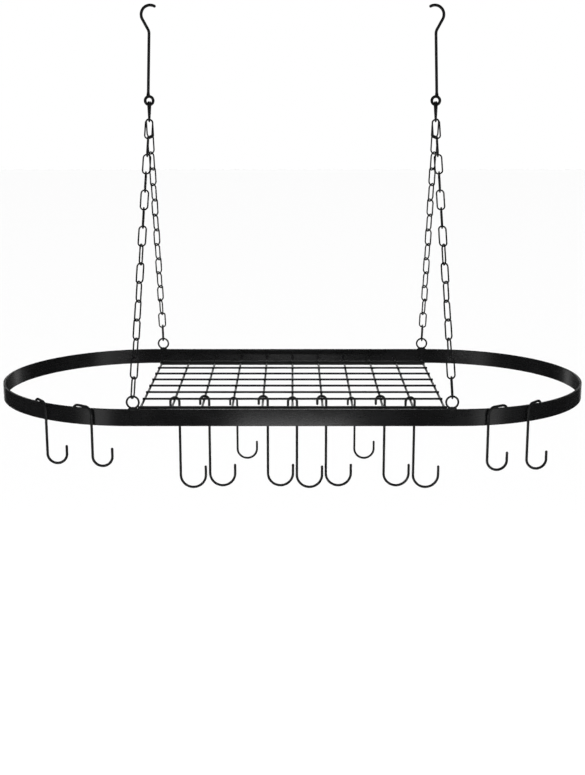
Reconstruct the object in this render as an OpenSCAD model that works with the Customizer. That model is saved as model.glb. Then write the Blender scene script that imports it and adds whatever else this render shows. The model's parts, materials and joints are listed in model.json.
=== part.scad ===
// Hanging pot rack: an oval flat-bar band with a welded wire grid inside it, hung by two
// pairs of link chains from two ceiling hooks, with wire hooks on the grid and on the rim.
// The origin is midway between the seats of the two ceiling hooks. +X runs along the
// length, +Y towards the back and +Z up.

/* [Oval band] */
// Length of the band over its outside
band_length = 838; // [760:1:960]
// Width of the band over its outside
band_width = 406.4; // [380:0.2:440]
// Height of the flat bar that stands on edge
band_height = 22.8; // [20:0.2:32]
// Thickness of the flat bar
band_thickness = 3; // [2.4:0.1:3.6]
// Radius of the flat bar's eased edges
band_edge = 0.7; // [0.3:0.1:1]

/* [Grid] */
// Diameter of the front and back rails
rail_d = 6.4; // [6:0.1:8]
// Length of the rails
rail_length = 418; // [416:1:426]
// Distance between the centres of the two rails
rail_spacing = 298; // [288:1:310]
// Diameter of the grid's wires
grid_wire = 3; // [2.6:0.1:3.2]
// Distance between neighbouring wires, both ways
grid_pitch = 41; // [40.5:0.1:41.2]
// Number of long wires
long_wire_count = 6; // [4:2:6]
// Number of cross wires that carry hooks
hook_wire_count = 9; // [5:2:9]
// Distance of the two end cross wires from the ends of the rails
end_wire_inset = 2.5; // [1.5:0.5:6]
// Depth of the cross wires' centres below the band's top edge
grid_depth = 12.95; // [12:0.05:16]
// Height of the rails' centres above the cross wires' centres
rail_rise = 0.95; // [0:0.05:1.2]

/* [Rings] */
// Diameter of the rings' wire
ring_wire = 2.6; // [2:0.1:3.2]
// Radius of a ring to the centre of its wire
ring_radius = 7.95; // [7:0.05:10]
// Distance of the rings from the middle, along the band
ring_x = 209; // [200:1:214]
// Radius of the weld bead under a ring
ring_bead = 2.3; // [2:0.1:2.6]

/* [Ceiling hooks] */
// Distance of a ceiling hook's eye from the middle
hook_x = 200; // [190:1:210]
// Lean of the ceiling hooks, whose bows hang nearer to the middle than their eyes
hook_lean = 2.2; // [0:0.1:4]
// Diameter of the hooks' wire
hook_wire = 4; // [3.4:0.1:4.4]
// Radius of the bow to the centre of its wire
bow_radius = 12.6; // [11:0.1:16]
// Angle of the bow's tip above the level
bow_tip_angle = 64; // [58:1:74]
// Angle through which the bow is bent
bow_turn = 147; // [140:1:154]
// Radius of the bend from the bow's slant into the shank
neck_radius = 12; // [6:0.5:14]
// Distance of the shank from the line through the seat and the eye
shank_offset = 1.4; // [1:0.1:2.4]
// Distance of the eye's centre from the seat
eye_depth = 126; // [90:0.1:180]
// Radius of the eye to the centre of its wire
eye_radius = 5.6; // [5.4:0.1:7]

/* [Chains] */
// Diameter of the links' wire
link_wire = 2.1; // [1.8:0.1:2.2]
// Width of a link between the centres of its two sides
link_width = 10; // [9:0.1:12]
// Distance from one link to the next
link_pitch = 26.6; // [22:0.1:32]
// Number of links in a chain
link_count = 16; // [12:1:20]
// Distance between the two top links that share an eye
top_link_spacing = 2.5; // [2.5:0.1:2.6]
// Extra twist of the left front chain at its last link
left_end_twist = 60; // [50:1:100]
// Extra twist of every other chain at its last link
end_twist = 90; // [80:1:100]

/* [Grid hooks] */
// Diameter of a large hook's wire
large_wire = 3.5; // [3:0.1:3.8]
// Width of a large hook's upper bend between wire centres
large_bend = 12.5; // [10.5:0.1:14]
// Width of a large hook's cradle between wire centres
large_cradle = 35.4; // [28:0.1:35.6]
// Height of a large hook between the centres of its bends
large_drop = 130.3; // [90:0.1:170]
// Height of a large hook's tip above the bottom of its cradle
large_tip = 31.7; // [26:0.1:40]
// Diameter of a small hook's wire
small_wire = 2.9; // [2.4:0.1:3.2]
// Width of a small hook's upper bend between wire centres
small_bend = 9.7; // [9:0.1:12]
// Width of a small hook's cradle between wire centres
small_cradle = 27.2; // [22:0.1:30]
// Height of a small hook between the centres of its bends
small_drop = 87.2; // [60:0.1:120]
// Height of a small hook's tip above the bottom of its cradle
small_tip = 24.9; // [20:0.1:30]
// Length of the short leg behind a hook's upper bend
short_leg = 5; // [3:0.5:8]
// Distance of the hooks' row in front of the middle
hook_row = 92; // [88:0.5:96]
// Distance between the planes of neighbouring hooks
hook_stagger = 8; // [7.5:0.1:8.4]

/* [Rim hooks] */
// Distance of each rim hook from its end of the band, two on the left and two on the right
rim_insets = [90, 155, 162, 106]; // [60:1:200]
// Height of each rim hook between the centres of its bends
rim_drops = [83.6, 79.4, 84.3, 88.5]; // [60:0.1:120]
// Diameter of the rim hooks' wire
rim_wire = 3.5; // [3:0.1:3.6]
// Width of a rim hook's cradle between wire centres
rim_cradle = 26; // [22:0.1:30]
// Height of a rim hook's tip above the bottom of its cradle
rim_tip = 25; // [20:0.1:30]
// Width of a rim hook's saddle between wire centres
rim_saddle = 34; // [33:0.1:36]
// Radius of the saddle's two bends
rim_corner = 10; // [7:0.1:10.4]
// Angle between the saddle and the band that it crosses
rim_crossing = 23; // [22:0.5:26]
// Distance of a rim hook's shank centre from the band's outer face
rim_stand_off = 4; // [3.8:0.1:4.4]

/* [Clearances] */
// Gap where one wire hangs in another
hang_gap = 0.3; // [0.2:0.05:0.4]
// Gap where welded pieces meet
weld_gap = 0.05; // [0.02:0.01:0.1]

/* [Hidden] */
SIDES = ["left", "right"];
ENDS = ["front", "back"];
CORNERS = [for (s = SIDES, e = ENDS) str(s, "_", e)];
RIM_SIDES = [-1, -1, 1, 1];
RIM_COUNT = len(RIM_SIDES);

$fn = 32;
band_fn = 192;
collar_rise = 0.01;
collar_length = 0.4;
band_black = "#26272a";
wire_black = "#1d1e20";

// Hooks on the grid's wires, counted from the left: these are small, the rest are large
small_hook_numbers = [3, 7];
// Extra twist along a front and a back chain, as pairs of link number and degrees
front_twist = [[1, 0], [7, 0], [13, 45]];
back_twist = [[1, 0], [3, 45], [13, 45]];

// The band's straight sides end where its round ends begin
end_radius = band_width / 2;
straight_half = band_length / 2 - end_radius;
band_mid_y = end_radius - band_thickness / 2;
inner_face_y = end_radius - band_thickness;

// Heights, from the ceiling hooks' seats down to the band
eye_wire_z = -eye_depth * cos(hook_lean) - eye_radius;
chain_run = link_count * link_pitch - (hook_wire + ring_wire) / 2 - hang_gap;
chain_drop = sqrt(chain_run ^ 2 - band_mid_y ^ 2 - (ring_x - hook_x) ^ 2);
ring_top_z = eye_wire_z - chain_drop;
ring_z = ring_top_z - ring_radius;
band_top_z = ring_z - ring_radius - ring_wire / 2 - weld_gap;
cross_z = band_top_z - grid_depth;
long_z = cross_z + grid_wire + weld_gap;
rail_z = cross_z + rail_rise;

// The seats stand in from the eyes by the hooks' lean
seat_x = hook_x - eye_depth * sin(hook_lean);

// The two top links lie side by side in the eye, a little up the curve of its wire
eye_room = eye_radius - hook_wire / 2 - link_wire / 2 - hang_gap;
top_link_rise = eye_radius - sqrt(eye_room ^ 2 - (top_link_spacing / 2) ^ 2);

// The weld between a ceiling hook's shank and its eye tapers up the shank
eye_weld_foot = 0.75 * hook_wire;
eye_weld_top = 0.53 * hook_wire;
eye_weld_height = 1.7 * hook_wire;
eye_weld_sink = hook_wire / 3;

hook_wire_xs = [for (i = [1:hook_wire_count]) (i - (hook_wire_count + 1) / 2) * grid_pitch];
end_wire_x = rail_length / 2 - end_wire_inset;
cross_wire_xs = concat([-end_wire_x], hook_wire_xs, [end_wire_x]);
long_wire_ys = [for (i = [1:long_wire_count]) (i - (long_wire_count + 1) / 2) * grid_pitch];

// Corner points of a rectangle with rounded corners, centred on the origin
function rounded_rectangle(w, h, r, steps = 4) = [
    for (corner = [0:3], step = [0:steps])
        let (
            quarter = corner * 90,
            cx = (corner == 0 || corner == 3 ? 1 : -1) * (w / 2 - r),
            cy = (corner < 2 ? 1 : -1) * (h / 2 - r)
        )
        [cx + r * cos(quarter + step * 90 / steps), cy + r * sin(quarter + step * 90 / steps)]
];

function is_in(value, list) = len([for (v = list) if (v == value) v]) > 0;

// A half ball that closes the end of a wire, on the side of +X
module wire_end(wire) {
    rotate([0, 90, 0]) rotate_extrude() intersection() {
        circle(d = wire);
        square(wire);
    }
}

// The short collar that joins two parts of a wire, which runs along X there
module bend_collar(wire) {
    rotate([0, 90, 0]) cylinder(d = wire + 2 * collar_rise, h = collar_length, center = true);
}

// A wire bent step by step from the origin, heading along +X. Each step is
// [feed, roll, radius, turn]: the wire runs straight for feed, the plane of the bend is
// rolled about the wire, and the wire is bent to its left. The far end is rounded. Where a
// roll or a turn isn't square, a collar stands a hair proud of the wire and joins its parts,
// which meet inside it: the straight that ends at such a roll stops just short of the bend.
module bent_wire(wire, steps, i = 0) {
    if (i == len(steps)) {
        wire_end(wire);
    } else {
        feed = steps[i][0];
        roll = steps[i][1];
        radius = steps[i][2];
        turn = steps[i][3];
        short = roll % 90 == 0 ? 0 : collar_rise;
        if (feed > 0) rotate([0, 90, 0]) cylinder(d = wire, h = feed - short);
        if (roll % 90 != 0) translate([feed, 0, 0]) bend_collar(wire);
        translate([feed, 0, 0]) rotate([roll, 0, 0]) translate([0, radius, 0]) {
            if (turn > 0) rotate([0, 0, -90]) rotate_extrude(angle = turn)
                translate([radius, 0]) circle(d = wire);
            rotate([0, 0, turn]) translate([0, -radius, 0]) {
                if (turn % 90 != 0) bend_collar(wire);
                bent_wire(wire, steps, i + 1);
            }
        }
    }
}

// A closed ring of round wire that stands in the XZ plane
module wire_ring(wire, radius) {
    rotate([90, 0, 0]) rotate_extrude() translate([radius, 0]) circle(d = wire);
}

module mirror_if(flip) {
    if (flip) mirror([1, 0, 0]) children();
    else children();
}

// ---------------------------------------------------------------- band and grid

module oval_band() {
    color(band_black) translate([0, 0, band_top_z - band_height / 2]) {
        for (end = [0, 180])
            rotate([0, 0, end]) translate([straight_half, 0, 0]) rotate([0, 0, -90])
                rotate_extrude(angle = 180, $fn = band_fn)
                    translate([band_mid_y, 0])
                        polygon(rounded_rectangle(band_thickness, band_height, band_edge));
        for (side = [-1, 1])
            translate([-straight_half, side * band_mid_y, 0])
                rotate([90, 0, 90]) linear_extrude(2 * straight_half)
                    polygon(rounded_rectangle(band_thickness, band_height, band_edge));
    }
}

// A rail is a round rod, drilled where the cross wires pass through it
module rail(side) {
    drill_length = 2 * rail_d;
    color(wire_black) difference() {
        translate([0, side * rail_spacing / 2, rail_z]) rotate([0, 90, 0])
            cylinder(d = rail_d, h = rail_length, center = true);
        for (x = cross_wire_xs)
            translate([x, side * rail_spacing / 2, cross_z]) rotate([90, 0, 0])
                cylinder(d = grid_wire + 2 * weld_gap, h = drill_length, center = true);
    }
}

module long_wires() {
    color(wire_black) for (y = long_wire_ys)
        translate([0, y, long_z]) rotate([0, 90, 0])
            cylinder(d = grid_wire, h = 2 * end_wire_x + grid_wire, center = true);
}

module cross_wires() {
    color(wire_black) for (x = cross_wire_xs)
        translate([x, 0, cross_z]) rotate([90, 0, 0])
            cylinder(d = grid_wire, h = 2 * (inner_face_y - weld_gap), center = true);
}

// A ring stands on the band's top edge, on a bead of weld
module band_ring(side, end) {
    bead_centre = ring_bead / 3;
    color(wire_black) translate([side * ring_x, end * band_mid_y, ring_z]) {
        wire_ring(ring_wire, ring_radius);
        translate([0, 0, band_top_z - ring_z + weld_gap]) rotate_extrude() intersection() {
            translate([0, bead_centre]) circle(r = ring_bead);
            square(2 * ring_bead);
        }
    }
}

// ---------------------------------------------------------------- ceiling hooks

// The left hook: its bow opens towards the middle of the rack, and the slant brings the
// shank back under the seat. The shank is welded to a closed eye.
module ceiling_hook(side) {
    bow_end = bow_tip_angle + bow_turn;
    slant_turn = bow_end - 180;
    bow_z = hook_wire / 2 - bow_radius;
    slant = (-shank_offset - bow_radius * cos(bow_end) - neck_radius * (1 - cos(slant_turn)))
        / sin(slant_turn);
    neck_z = bow_z + bow_radius * sin(bow_end) - slant * cos(slant_turn)
        - neck_radius * sin(slant_turn);
    shank_end_z = -eye_depth + sqrt(eye_radius ^ 2 - shank_offset ^ 2);
    color(wire_black) translate([side * seat_x, 0, 0]) mirror_if(side > 0) rotate([0, hook_lean, 0]) {
        translate([bow_radius * cos(bow_tip_angle), 0, bow_z + bow_radius * sin(bow_tip_angle)])
            rotate([90, 0, 0]) rotate([0, 0, bow_tip_angle + 90]) {
                rotate([0, 0, 180]) wire_end(hook_wire);
                bent_wire(hook_wire, [
                    [0, 0, bow_radius, bow_turn],
                    [slant, 180, neck_radius, slant_turn],
                    [neck_z - shank_end_z - hook_wire, 0, 0, 0]
                ]);
            }
        translate([0, 0, -eye_depth]) wire_ring(hook_wire, eye_radius);
        translate([-shank_offset, 0, shank_end_z - eye_weld_sink])
            cylinder(r1 = eye_weld_foot, r2 = eye_weld_top, h = eye_weld_height);
    }
}

// ---------------------------------------------------------------- chains

// One link that hangs down from the origin, the centre of its top bend, in the YZ plane
module link(length) {
    straight = length - link_width;
    for (end = [0, 1])
        translate([0, 0, -link_width / 2 - end * straight])
            rotate([90, 0, 90]) rotate([0, 0, 180 * end]) rotate_extrude(angle = 180)
                translate([link_width / 2, 0]) circle(d = link_wire);
    for (side = [-1, 1])
        translate([0, side * link_width / 2, -link_width / 2 - straight])
            cylinder(d = link_wire, h = straight);
}

// Links number first to last of one corner's chain. The chain runs straight from the wire
// of the ceiling hook's eye to the wire of the ring below, and each link is turned a
// quarter from the one before, with an extra twist that grows along the chain.
module chain_links(side, end, first, last) {
    start = [side * (hook_x + end * top_link_spacing / 2), 0, eye_wire_z];
    finish = [side * ring_x, end * band_mid_y, ring_top_z];
    run = finish - start;
    over_eye = top_link_rise;
    under_ring = (ring_wire + link_wire) / 2 + hang_gap;
    step = (norm(run) + over_eye + under_ring - link_wire - hang_gap) / link_count;
    last_twist = side < 0 && end < 0 ? left_end_twist : end_twist;
    twist = concat(end < 0 ? front_twist : back_twist, [[link_count, last_twist]]);
    color(wire_black) translate(start)
        rotate([asin(run[1] / norm(run)), atan2(-run[0], -run[2]), 0])
            for (n = [first:last])
                translate([0, 0, over_eye - (n - 1) * step])
                    rotate([0, 0, side * ((n - 1) * 90 + lookup(n, twist))])
                        link(step + hang_gap + link_wire);
}

// ---------------------------------------------------------------- hooks

// A hook whose shank is the line x = y = 0 below the centre of the upper bend's top. The
// cradle opens towards +X, and the upper bend leaves the shank in the given heading.
module pot_hook(wire, drop, cradle, tip, bend, corner, heading) {
    tip_straight = tip - cradle / 2 - wire / 2;
    color(wire_black) translate([cradle, 0, -drop + cradle / 2 + tip_straight])
        rotate([-90, 0, 0]) rotate([0, 0, 90]) {
            rotate([0, 0, 180]) wire_end(wire);
            bent_wire(wire, [
                [tip_straight, 0, cradle / 2, 180],
                [drop - cradle / 2 - corner, heading, corner, 90],
                [bend - 2 * corner, 0, corner, 90],
                [short_leg, 0, 0, 0]
            ]);
        }
}

// A hook that hangs on a cross wire, in one of two planes by turns
module grid_hook(i) {
    small = is_in(i, small_hook_numbers);
    wire = small ? small_wire : large_wire;
    bend = small ? small_bend : large_bend;
    row = hook_row + (i % 2 == 1 ? 0.5 : -0.5) * hook_stagger;
    translate([hook_wire_xs[i - 1] + bend / 2, -row, cross_z + (grid_wire + wire) / 2 + hang_gap])
        pot_hook(wire, small ? small_drop : large_drop, small ? small_cradle : large_cradle,
            small ? small_tip : large_tip, bend, bend / 2, 180);
}

// A hook that hangs on the front of the rim, with its shank outside the band
module rim_hook(i) {
    x = RIM_SIDES[i - 1] * (band_length / 2 - rim_insets[i - 1]);
    reach = end_radius + rim_stand_off;
    along = max(abs(x) - straight_half, 0);
    tangent = asin(along / reach);
    heading = tangent + rim_crossing;
    translate([x, -sqrt(reach ^ 2 - along ^ 2), band_top_z + rim_wire / 2 + hang_gap])
        pot_hook(rim_wire, rim_drops[i - 1], rim_cradle, rim_tip, rim_saddle, rim_corner,
            x < 0 ? 180 - heading : heading);
}

// ---------------------------------------------------------------- the rack

oval_band();
rail(-1);  // front_rail
rail(1);  // back_rail
long_wires();
cross_wires();
for (s = [0, 1])
    ceiling_hook(2 * s - 1);
for (s = [0, 1], e = [0, 1]) {
    corner = CORNERS[2 * s + e];
    band_ring(2 * s - 1, 2 * e - 1);
    chain_links(2 * s - 1, 2 * e - 1, 1, 1);
    chain_links(2 * s - 1, 2 * e - 1, 2, link_count);
}
for (i = [1:hook_wire_count])
    grid_hook(i);
for (i = [1:RIM_COUNT])
    rim_hook(i);
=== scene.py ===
"""Dresses the hanging pot rack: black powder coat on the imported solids, weld beads where the
grid's wires, rails and band meet, and the butt-weld seams of the band and of the chain links.

Lengths are in metres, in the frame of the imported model: origin midway between the seats of the
two ceiling hooks, +X along the rack, +Y to its back, +Z up.
"""

import json
import math

import bmesh
import bpy
import numpy as np
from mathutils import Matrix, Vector


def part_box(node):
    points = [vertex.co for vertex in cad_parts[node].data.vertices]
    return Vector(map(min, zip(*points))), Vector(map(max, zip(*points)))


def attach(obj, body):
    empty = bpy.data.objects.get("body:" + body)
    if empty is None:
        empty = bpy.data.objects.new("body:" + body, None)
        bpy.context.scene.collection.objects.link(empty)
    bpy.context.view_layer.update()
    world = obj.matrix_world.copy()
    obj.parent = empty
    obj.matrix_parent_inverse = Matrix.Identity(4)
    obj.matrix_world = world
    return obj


MM = 0.001
SIDES = ("left", "right")
ENDS = ("front", "back")
UPWARDS = (0, 0, 1)
BACKWARDS = (0, 1, 0)

# The photograph's frame, and the camera that the band's ellipse and the chains fit
IMAGE_WIDTH = 585
IMAGE_HEIGHT = 775
FOCAL_PIXELS = 1262.3
SENSOR = 36.0  # millimetres
CAMERA_DISTANCE = 1.8064  # in front of the ceiling hooks
CAMERA_RISE = 0.3996  # above the band's top edge
CAMERA_PITCH = 13.0  # degrees below the horizontal
CAMERA_REACH = 100.0  # beyond the floor's far edge

# The coat's patterns: the size of each, and how far it thins, dulls or lifts the coat
BLACK = (0.0055, 0.0056, 0.0059)
THIN_BLACK = (0.012, 0.0122, 0.0128)
SPECULAR = 0.45
NOISE_MEAN = 0.5
CLOUD_SIZE = 45 * MM
CLOUD_EDGES = (0.35, 0.68)
CLOUD_THINS = 0.5
CLOUD_DULLS = 0.12
GRAIN_SIZE = 2.2 * MM
GRAIN_THINS = 0.15
GRAIN_DULLS = 0.08
SPECK_SIZE = 0.7 * MM
SPECK_EDGES = (0.66, 0.74)
SPECK_THINS = 0.12
STREAK_LENGTH = 30 * MM
STREAK_STRETCH = 26  # a streak of the rolled bar is this many times longer than high
STREAK_DULLS = 0.35
PEEL_SIZE = 1.3 * MM
LUMP_SIZE = 7 * MM
LUMP_LIFTS = 0.8
BUMP_STRENGTH = 0.7

# The grid's wires and the band, as in the part's source
GRID_WIRE = 3 * MM
GRID_PITCH = 41 * MM
HOOKED_WIRES = 9
LONG_WIRES = 6
BAND_THICKNESS = 3 * MM

# A weld bead is a ball with two radii across its way and one along it, and each comes out a
# little smaller or larger
BEAD_SEGMENTS = 10
BEAD_RINGS = 6
SMALLEST_BEAD = 0.88
LARGEST_BEAD = 1.12
GRID_BEAD = (1.75 * MM, 1.75 * MM, 0.8 * MM)
RAIL_BEAD = (2.3 * MM, 2.3 * MM, 0.9 * MM)
BAND_BEAD = (2.6 * MM, 2.6 * MM, 1.1 * MM)
RING_BEAD = (6.5 * MM, 1.8 * MM, 3.2 * MM)

# Butt welds, ground flat on the band and swollen on the links
SEAM_HALF_WIDTH = 1.3 * MM
SEAM_RISE = 0.15 * MM
SEAM_MARGIN = 1 * MM  # from the bar's edges
SWELLING_RISE = 0.14 * MM
SWELLING_HALF_LENGTH = 1.3 * MM
WELDED_SIDE = (1, 0.7, 0.4)  # of a link's two straight sides, the one that lies this way
SAME_CORNER = 0.001 * MM  # corners of triangles within this are one

# The pale floor below the rack
FLOOR_HEIGHT = -1.9
FLOOR_SIZE = 60.0
FLOOR_GREY = 0.86
FLOOR_ROUGHNESS = 0.9
FLOOR_SPECULAR = 0.1

# The studio that the coat mirrors, by the height of the direction in which it lies
WHITE = (1, 1, 1, 1)
BRIGHT_BELOW = -0.75
DARK_ABOVE = -0.40
BRIGHT_GLOW = 0.55
DARK_GLOW = 0.035

# Each strip in front stands where the camera sees it mirrored in a bend of the band
HIGHLIGHT_X = 0.258
HIGHLIGHT_Y = -0.2
STRIP_DISTANCE = 1.1
STRIP_TURN = math.radians(33)  # outwards from straight ahead

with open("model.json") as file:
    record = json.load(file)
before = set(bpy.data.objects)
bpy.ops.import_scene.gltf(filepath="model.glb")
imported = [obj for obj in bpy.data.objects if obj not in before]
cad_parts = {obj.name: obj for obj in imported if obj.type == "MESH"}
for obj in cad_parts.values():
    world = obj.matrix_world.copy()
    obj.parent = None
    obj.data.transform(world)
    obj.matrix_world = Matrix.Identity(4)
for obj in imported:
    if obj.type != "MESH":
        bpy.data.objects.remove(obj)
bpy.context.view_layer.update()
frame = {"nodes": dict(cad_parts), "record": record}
scene = bpy.context.scene


# ------------------------------------------------------------------ nodes


class Value:
    """What a node puts out. Python's operators on a number add Math nodes."""

    def __init__(self, nodes, socket):
        self.nodes = nodes
        self.socket = socket

    def maths(self, operation, *others):
        values = dict(enumerate((self, *others)))
        return self.nodes.add("ShaderNodeMath", {"operation": operation}, values)

    def __add__(self, other):
        return self.maths("ADD", other)

    __radd__ = __add__

    def __sub__(self, other):
        return self.maths("SUBTRACT", other)

    def __rsub__(self, other):
        return (self * -1) + other

    def __mul__(self, other):
        return self.maths("MULTIPLY", other)

    __rmul__ = __mul__

    def between(self, low, high):
        """0 below low, 1 above high, and a smooth step from one to the other."""
        return self.nodes.add(
            "ShaderNodeMapRange",
            {"interpolation_type": "SMOOTHSTEP"},
            {"Value": self, "From Min": low, "From Max": high},
        )


class Nodes:
    """A tree of nodes."""

    def __init__(self, tree):
        self.tree = tree

    def add(self, kind, settings=None, values=None, output=0):
        """Adds a node with its settings and its sockets' values or links, and returns its output
        if it has one."""
        node = self.tree.nodes.new(kind)
        for key, setting in (settings or {}).items():
            setattr(node, key, setting)
        for key, value in (values or {}).items():
            self.put(node.inputs[key], value)
        return Value(self, node.outputs[output]) if node.outputs else None

    def put(self, socket, value):
        """Links a socket to a node's value, or sets it to a plain one."""
        if isinstance(value, Value):
            self.tree.links.new(value.socket, socket)
        else:
            socket.default_value = value


# ------------------------------------------------------------------ finishes


class Coat(Nodes):
    """A material and its nodes."""

    def __init__(self, name):
        self.material = bpy.data.materials.new(name)
        self.material.use_nodes = True
        super().__init__(self.material.node_tree)

    def paint(self, values):
        """Gives the shader its values."""
        for key, value in values.items():
            self.put(self.tree.nodes["Principled BSDF"].inputs[key], value)

    def noise(self, size, detail, roughness=0.5, stretch=(1, 1, 1)):
        """Noise from 0 to 1, in patches about size across that stretch flattens along an axis."""
        point = self.add("ShaderNodeTexCoord", output="Object")
        place = self.add("ShaderNodeMapping", {}, {"Vector": point, "Scale": stretch})
        return self.add(
            "ShaderNodeTexNoise",
            {"noise_dimensions": "3D"},
            {"Vector": place, "Scale": 1 / size, "Detail": detail, "Roughness": roughness},
        )

    def mix(self, share, a, b):
        """The colour a where share is 0, and b where it is 1."""
        return self.add(
            "ShaderNodeMix",
            {"data_type": "RGBA"},
            {"Factor": share, "A": (*a, 1), "B": (*b, 1)},
            output=2,
        )


def powder_coat(name, roughness, peel, streaks=0.0):
    """Satin black powder coat. peel is the height of its orange peel in metres, and streaks is
    how much the rolled bar shows through it."""
    coat = Coat(name)
    clouds = coat.noise(CLOUD_SIZE, detail=3)
    grain = coat.noise(GRAIN_SIZE, detail=4, roughness=0.6)
    specks = coat.noise(SPECK_SIZE, detail=1).between(*SPECK_EDGES)
    bar = coat.noise(STREAK_LENGTH, detail=3, stretch=(1, 1, STREAK_STRETCH)) - NOISE_MEAN
    orange_peel = coat.noise(PEEL_SIZE, detail=1.5, roughness=0.4)
    lumps = coat.noise(LUMP_SIZE, detail=1)
    thinness = (
        clouds.between(*CLOUD_EDGES) * CLOUD_THINS
        + grain * GRAIN_THINS
        + specks * SPECK_THINS
        + bar * streaks
    )
    dullness = (
        roughness
        + (grain - NOISE_MEAN) * GRAIN_DULLS
        + (clouds - NOISE_MEAN) * CLOUD_DULLS
        + bar * (STREAK_DULLS * streaks)
    )
    height = orange_peel + lumps * LUMP_LIFTS + bar * streaks
    bump = coat.add(
        "ShaderNodeBump", {}, {"Strength": BUMP_STRENGTH, "Distance": peel, "Height": height}
    )
    coat.paint(
        {
            "Base Color": coat.mix(thinness, BLACK, THIN_BLACK),
            "Roughness": dullness,
            "Specular IOR Level": SPECULAR,
            "Normal": bump,
        }
    )
    return coat.material


COATS = {
    "band": powder_coat("band_powder_coat", roughness=0.27, peel=0.018 * MM, streaks=0.30),
    "grid": powder_coat("rod_powder_coat", roughness=0.32, peel=0.03 * MM),
    "chain": powder_coat("chain_coat", roughness=0.30, peel=0.02 * MM),
    "hook": powder_coat("hook_coat", roughness=0.30, peel=0.02 * MM),
}
weld_coat = powder_coat("weld_coat", roughness=0.40, peel=0.08 * MM)

slots = {part["node"]: part["material_slot"] for part in frame["record"]["subparts"]}
for node, piece in frame["nodes"].items():
    piece.data.materials.clear()
    piece.data.materials.append(COATS[slots[node]])


# ------------------------------------------------------------------ weld beads


class Builder(Nodes):
    """A Geometry Nodes tree with named inputs, run once and turned into a plain mesh."""

    def __init__(self, name, inputs):
        super().__init__(bpy.data.node_groups.new(name, "GeometryNodeTree"))
        face = self.tree.interface
        self.sockets = {}
        self.values = inputs
        face.new_socket(name="Geometry", in_out="INPUT", socket_type="NodeSocketGeometry")
        for key, value in inputs.items():
            kind = {
                int: "NodeSocketInt",
                float: "NodeSocketFloat",
                tuple: "NodeSocketVector",
            }.get(type(value), "NodeSocketMaterial")
            self.sockets[key] = face.new_socket(name=key, in_out="INPUT", socket_type=kind)
        face.new_socket(name="Geometry", in_out="OUTPUT", socket_type="NodeSocketGeometry")
        self.given = self.tree.nodes.new("NodeGroupInput")

    def input(self, key):
        return Value(self, self.given.outputs[key])

    def finish(self, geometry, name, seed_mesh):
        """The geometry that the tree makes of the seed mesh, as an object with a plain mesh."""
        real = self.add("GeometryNodeRealizeInstances", {}, {0: geometry})
        smooth = self.add("GeometryNodeSetShadeSmooth", {}, {"Geometry": real})
        done = self.add(
            "GeometryNodeSetMaterial", {}, {"Geometry": smooth, "Material": self.input("Finish")}
        )
        self.add("NodeGroupOutput", {}, {0: done})
        carrier = bpy.data.objects.new(name, seed_mesh)
        scene.collection.objects.link(carrier)
        modifier = carrier.modifiers.new("build", "NODES")
        modifier.node_group = self.tree
        for key, value in self.values.items():
            modifier[self.sockets[key].identifier] = value
        bpy.context.view_layer.update()
        graph = bpy.context.evaluated_depsgraph_get()
        mesh = bpy.data.meshes.new_from_object(carrier.evaluated_get(graph))
        mesh.name = name
        carrier.modifiers.clear()
        carrier.data = mesh
        return carrier


def beads(name, places, ways, radii, body, seed):
    """Weld beads at the places, each a little uneven. radii are a bead's two radii across and its
    radius along its way, and ways is the direction of that way, one for all or one for each."""
    points = bpy.data.meshes.new(name + "_places")
    points.from_pydata([tuple(place) for place in places], [], [])
    heading = points.attributes.new("heading", "FLOAT_VECTOR", "POINT")
    directions = np.broadcast_to(np.array(ways, dtype=float), (len(places), 3))
    heading.data.foreach_set("vector", directions.ravel())
    tree = Builder(
        name + "_tree",
        {
            "Bead radii": tuple(float(radius) for radius in radii),
            "Smallest": (SMALLEST_BEAD,) * 3,
            "Largest": (LARGEST_BEAD,) * 3,
            "Seed": seed,
            "Finish": weld_coat,
        },
    )
    ball = tree.add(
        "GeometryNodeMeshUVSphere",
        {},
        {"Segments": BEAD_SEGMENTS, "Rings": BEAD_RINGS, "Radius": 1.0},
    )
    bead = tree.add(
        "GeometryNodeTransform", {}, {"Geometry": ball, "Scale": tree.input("Bead radii")}
    )
    way = tree.add(
        "GeometryNodeInputNamedAttribute", {"data_type": "FLOAT_VECTOR"}, {"Name": "heading"}
    )
    turned = tree.add("FunctionNodeAlignRotationToVector", {"axis": "Z"}, {"Vector": way})
    size = tree.add(
        "FunctionNodeRandomValue",
        {"data_type": "FLOAT_VECTOR"},
        {0: tree.input("Smallest"), 1: tree.input("Largest"), "Seed": tree.input("Seed")},
    )
    placed = tree.add(
        "GeometryNodeInstanceOnPoints",
        {},
        {"Points": tree.input("Geometry"), "Instance": bead, "Rotation": turned, "Scale": size},
    )
    piece = tree.finish(placed, name, points)
    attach(piece, body)


def middle(low, high):
    return (low + high) / 2


band_low, band_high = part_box("oval_band")
cross_low, cross_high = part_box("cross_wires")
long_low, long_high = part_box("long_wires")
rail_low, rail_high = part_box("back_rail")
end_wire = cross_high[0] - GRID_WIRE / 2
last_row = long_high[1] - GRID_WIRE / 2
hooked = [(n - HOOKED_WIRES // 2) * GRID_PITCH for n in range(HOOKED_WIRES)]
columns = [-end_wire, *hooked, end_wire]
rows = [last_row - n * GRID_PITCH for n in range(LONG_WIRES)]
cross_height = middle(cross_low[2], cross_high[2])

# The long wires lie on the cross wires
wire_meeting = middle(long_low[2], cross_high[2])
crossings = [(x, y, wire_meeting) for x in columns for y in rows]
beads("grid_welds", crossings, UPWARDS, GRID_BEAD, "rack", seed=1)

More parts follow.
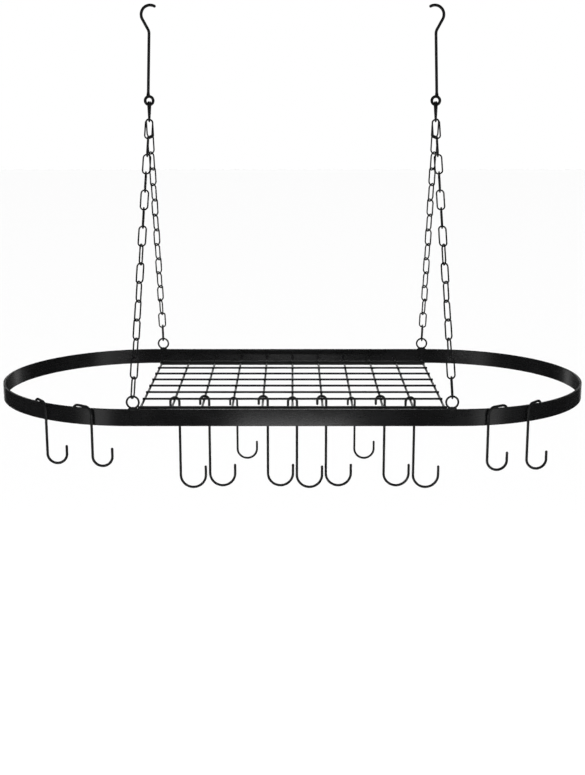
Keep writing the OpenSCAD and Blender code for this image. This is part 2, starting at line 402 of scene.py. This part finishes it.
# The cross wires run through the rails to the band's inner faces
rail_radius = (rail_high[1] - rail_low[1]) / 2
wire_below = middle(rail_low[2], rail_high[2]) - cross_height
half_bore = math.sqrt(rail_radius**2 - wire_below**2)
rail_faces = [
    (x, side * (middle(rail_low[1], rail_high[1]) + face * half_bore), cross_height)
    for x in columns
    for side in (-1, 1)
    for face in (-1, 1)
]
beads("rail_welds", rail_faces, BACKWARDS, RAIL_BEAD, "rack", seed=2)
wire_ends = [(x, side * cross_high[1], cross_height) for x in columns for side in (-1, 1)]
beads("band_wire_welds", wire_ends, BACKWARDS, BAND_BEAD, "rack", seed=3)

# The rings stand on the band's top edge
ring_feet = []
for side in SIDES:
    for end in ENDS:
        ring_low, ring_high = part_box(side + "_" + end + "_ring")
        ring_x = middle(ring_low[0], ring_high[0])
        ring_y = middle(ring_low[1], ring_high[1])
        ring_feet.append((ring_x, ring_y, band_high[2]))
beads("ring_welds", ring_feet, UPWARDS, RING_BEAD, "rack", seed=4)

# The bar's two ends meet at the middle of the band's back, where the weld is ground flat
seam_height = middle(band_low[2], band_high[2])
seam_faces = [(0, y, seam_height) for y in (band_high[1], band_high[1] - BAND_THICKNESS)]
seam = (SEAM_HALF_WIDTH, SEAM_RISE, (band_high[2] - band_low[2]) / 2 - SEAM_MARGIN)
beads("band_seam", seam_faces, UPWARDS, seam, "rack", seed=5)


# ------------------------------------------------------------------ link welds


def closed_forms(piece):
    """The points of each closed form in a piece's mesh."""
    merged = bmesh.new()
    merged.from_mesh(piece.data)
    bmesh.ops.remove_doubles(merged, verts=merged.verts, dist=SAME_CORNER)
    merged.verts.index_update()
    seen = set()
    forms = []
    for first in merged.verts:
        if first.index in seen:
            continue
        seen.add(first.index)
        waiting = [first]
        form = []
        while waiting:
            corner = waiting.pop()
            form.append(tuple(corner.co))
            for edge in corner.link_edges:
                other = edge.other_vert(corner)
                if other.index not in seen:
                    seen.add(other.index)
                    waiting.append(other)
        forms.append(np.array(form))
    merged.free()
    return forms


def link_seams(name, nodes, body, seed):
    """The swelling of the butt weld in the middle of one straight side of each link."""
    places, ways = [], []
    for node in nodes:
        for points in closed_forms(frame["nodes"][node]):
            centre = middle(points.min(axis=0), points.max(axis=0))
            length, width, through = np.linalg.svd(points - centre, full_matrices=False)[2]
            wire_radius = np.abs((points - centre) @ through).max()
            half_width = np.abs((points - centre) @ width).max()
            outwards = width if width @ np.array(WELDED_SIDE) > 0 else -width
            places.append(centre + outwards * (half_width - wire_radius))
            ways.append(length)
    swelling = wire_radius + SWELLING_RISE
    beads(name, places, ways, (swelling, swelling, SWELLING_HALF_LENGTH), body, seed)


for number, side in enumerate(SIDES):
    top_links = [side + "_" + end + "_top_link" for end in ENDS]
    chains = [side + "_" + end + "_chain" for end in ENDS]
    link_seams(side + "_top_link_welds", top_links, side + "_top_links", seed=6 + number)
    link_seams(side + "_chain_welds", chains, side + "_chains", seed=8 + number)


# ------------------------------------------------------------------ floor and studio

floor_coat = Coat("pale_floor")
floor_coat.paint(
    {
        "Base Color": (FLOOR_GREY, FLOOR_GREY, FLOOR_GREY, 1),
        "Roughness": FLOOR_ROUGHNESS,
        "Specular IOR Level": FLOOR_SPECULAR,
    }
)
floor_mesh = bpy.data.meshes.new("floor")
floor_corners = [
    (x * FLOOR_SIZE / 2, y * FLOOR_SIZE / 2, FLOOR_HEIGHT)
    for x, y in ((-1, -1), (1, -1), (1, 1), (-1, 1))
]
floor_mesh.from_pydata(floor_corners, [], [(0, 1, 2, 3)])
floor_mesh.materials.append(floor_coat.material)
floor = bpy.data.objects.new("floor", floor_mesh)
scene.collection.objects.link(floor)

# The camera sees white behind the rack. The coat mirrors a dark studio with a bright floor close
# below, not the wide floor itself.
floor.visible_glossy = False
world = bpy.data.worlds.new("studio")
scene.world = world
world.use_nodes = True
world.node_tree.nodes.clear()
studio = Nodes(world.node_tree)
direction = studio.add("ShaderNodeTexCoord", output="Generated")
glow = studio.add(
    "ShaderNodeMapRange",
    {"interpolation_type": "SMOOTHSTEP"},
    {
        "Value": studio.add("ShaderNodeSeparateXYZ", {}, {0: direction}, output="Z"),
        "From Min": BRIGHT_BELOW,
        "From Max": DARK_ABOVE,
        "To Min": BRIGHT_GLOW,
        "To Max": DARK_GLOW,
    },
)
seen_by_camera = studio.add("ShaderNodeLightPath", output="Is Camera Ray")
mirrored = studio.add("ShaderNodeBackground", {}, {"Color": WHITE, "Strength": glow})
white = studio.add("ShaderNodeBackground", {}, {"Color": WHITE, "Strength": 1.0})
either = studio.add("ShaderNodeMixShader", {}, {0: seen_by_camera, 1: mirrored, 2: white})
studio.add("ShaderNodeOutputWorld", {}, {0: either})


# ------------------------------------------------------------------ lamps


def lamp(name, kind, place, target, power):
    """A lamp at a place that shines at a target, and that the camera doesn't see."""
    data = bpy.data.lights.new(name, kind)
    data.energy = power
    piece = bpy.data.objects.new(name, data)
    scene.collection.objects.link(piece)
    piece.location = place
    piece.rotation_euler = (Vector(target) - Vector(place)).to_track_quat("-Z", "Y").to_euler()
    piece.visible_camera = False
    return piece


def softbox(name, place, target, glow, size):
    """A rectangular lamp, size wide and high, that glows evenly, with glow watts a square metre
    and steradian."""
    width, height = size
    data = lamp(name, "AREA", place, target, power=glow * math.pi * width * height).data
    data.shape = "RECTANGLE"
    data.size, data.size_y = width, height


# The sun whitens the floor, and is kept out of the coat's reflections
sun = lamp("sun", "SUN", place=(0, 0, 5), target=(0.3, 0.4, 0), power=3.6)
sun.data.angle = math.radians(40)
sun.visible_glossy = False

# The strips in front make the highlights on the band's bends, and those behind light its back
rack = Vector((0, 0, band_low[2]))
for way, side in ((-1, "left"), (1, "right")):
    highlight = rack + Vector((way * HIGHLIGHT_X, HIGHLIGHT_Y, 0))
    out = Vector((way * math.sin(STRIP_TURN), -math.cos(STRIP_TURN), 0))
    softbox(
        side + "_front_strip",
        place=highlight + out * STRIP_DISTANCE,
        target=highlight,
        glow=1.1,
        size=(0.42, 1.3),
    )
    softbox(
        side + "_back_strip",
        place=rack + Vector((way * 1.3, 2.4, 0.3)),
        target=rack,
        glow=1.0,
        size=(0.5, 2.4),
    )

# The top edge of the band's front mirrors the back wall as a light line, and its face mirrors the
# glow in the middle
softbox(
    "back_wall",
    place=rack + Vector((0, 3, 0.75)),
    target=rack,
    glow=2.2,
    size=(1.0, 0.7),
)
softbox(
    "glow",
    place=rack + Vector((0, -0.373, -0.060)),
    target=rack + Vector((0, -0.2, 0)),
    glow=8,
    size=(0.17, 0.02),
)


# ------------------------------------------------------------------ camera

camera_data = bpy.data.cameras.new("camera")
camera_data.sensor_width = SENSOR
camera_data.lens = FOCAL_PIXELS * SENSOR / max(IMAGE_WIDTH, IMAGE_HEIGHT)
camera_data.clip_end = CAMERA_REACH
camera = bpy.data.objects.new("camera", camera_data)
camera.location = (0, -CAMERA_DISTANCE, band_high[2] + CAMERA_RISE)
camera.rotation_euler = (math.radians(90 - CAMERA_PITCH), 0, 0)
scene.collection.objects.link(camera)
scene.camera = camera
scene.view_settings.view_transform = "Standard"
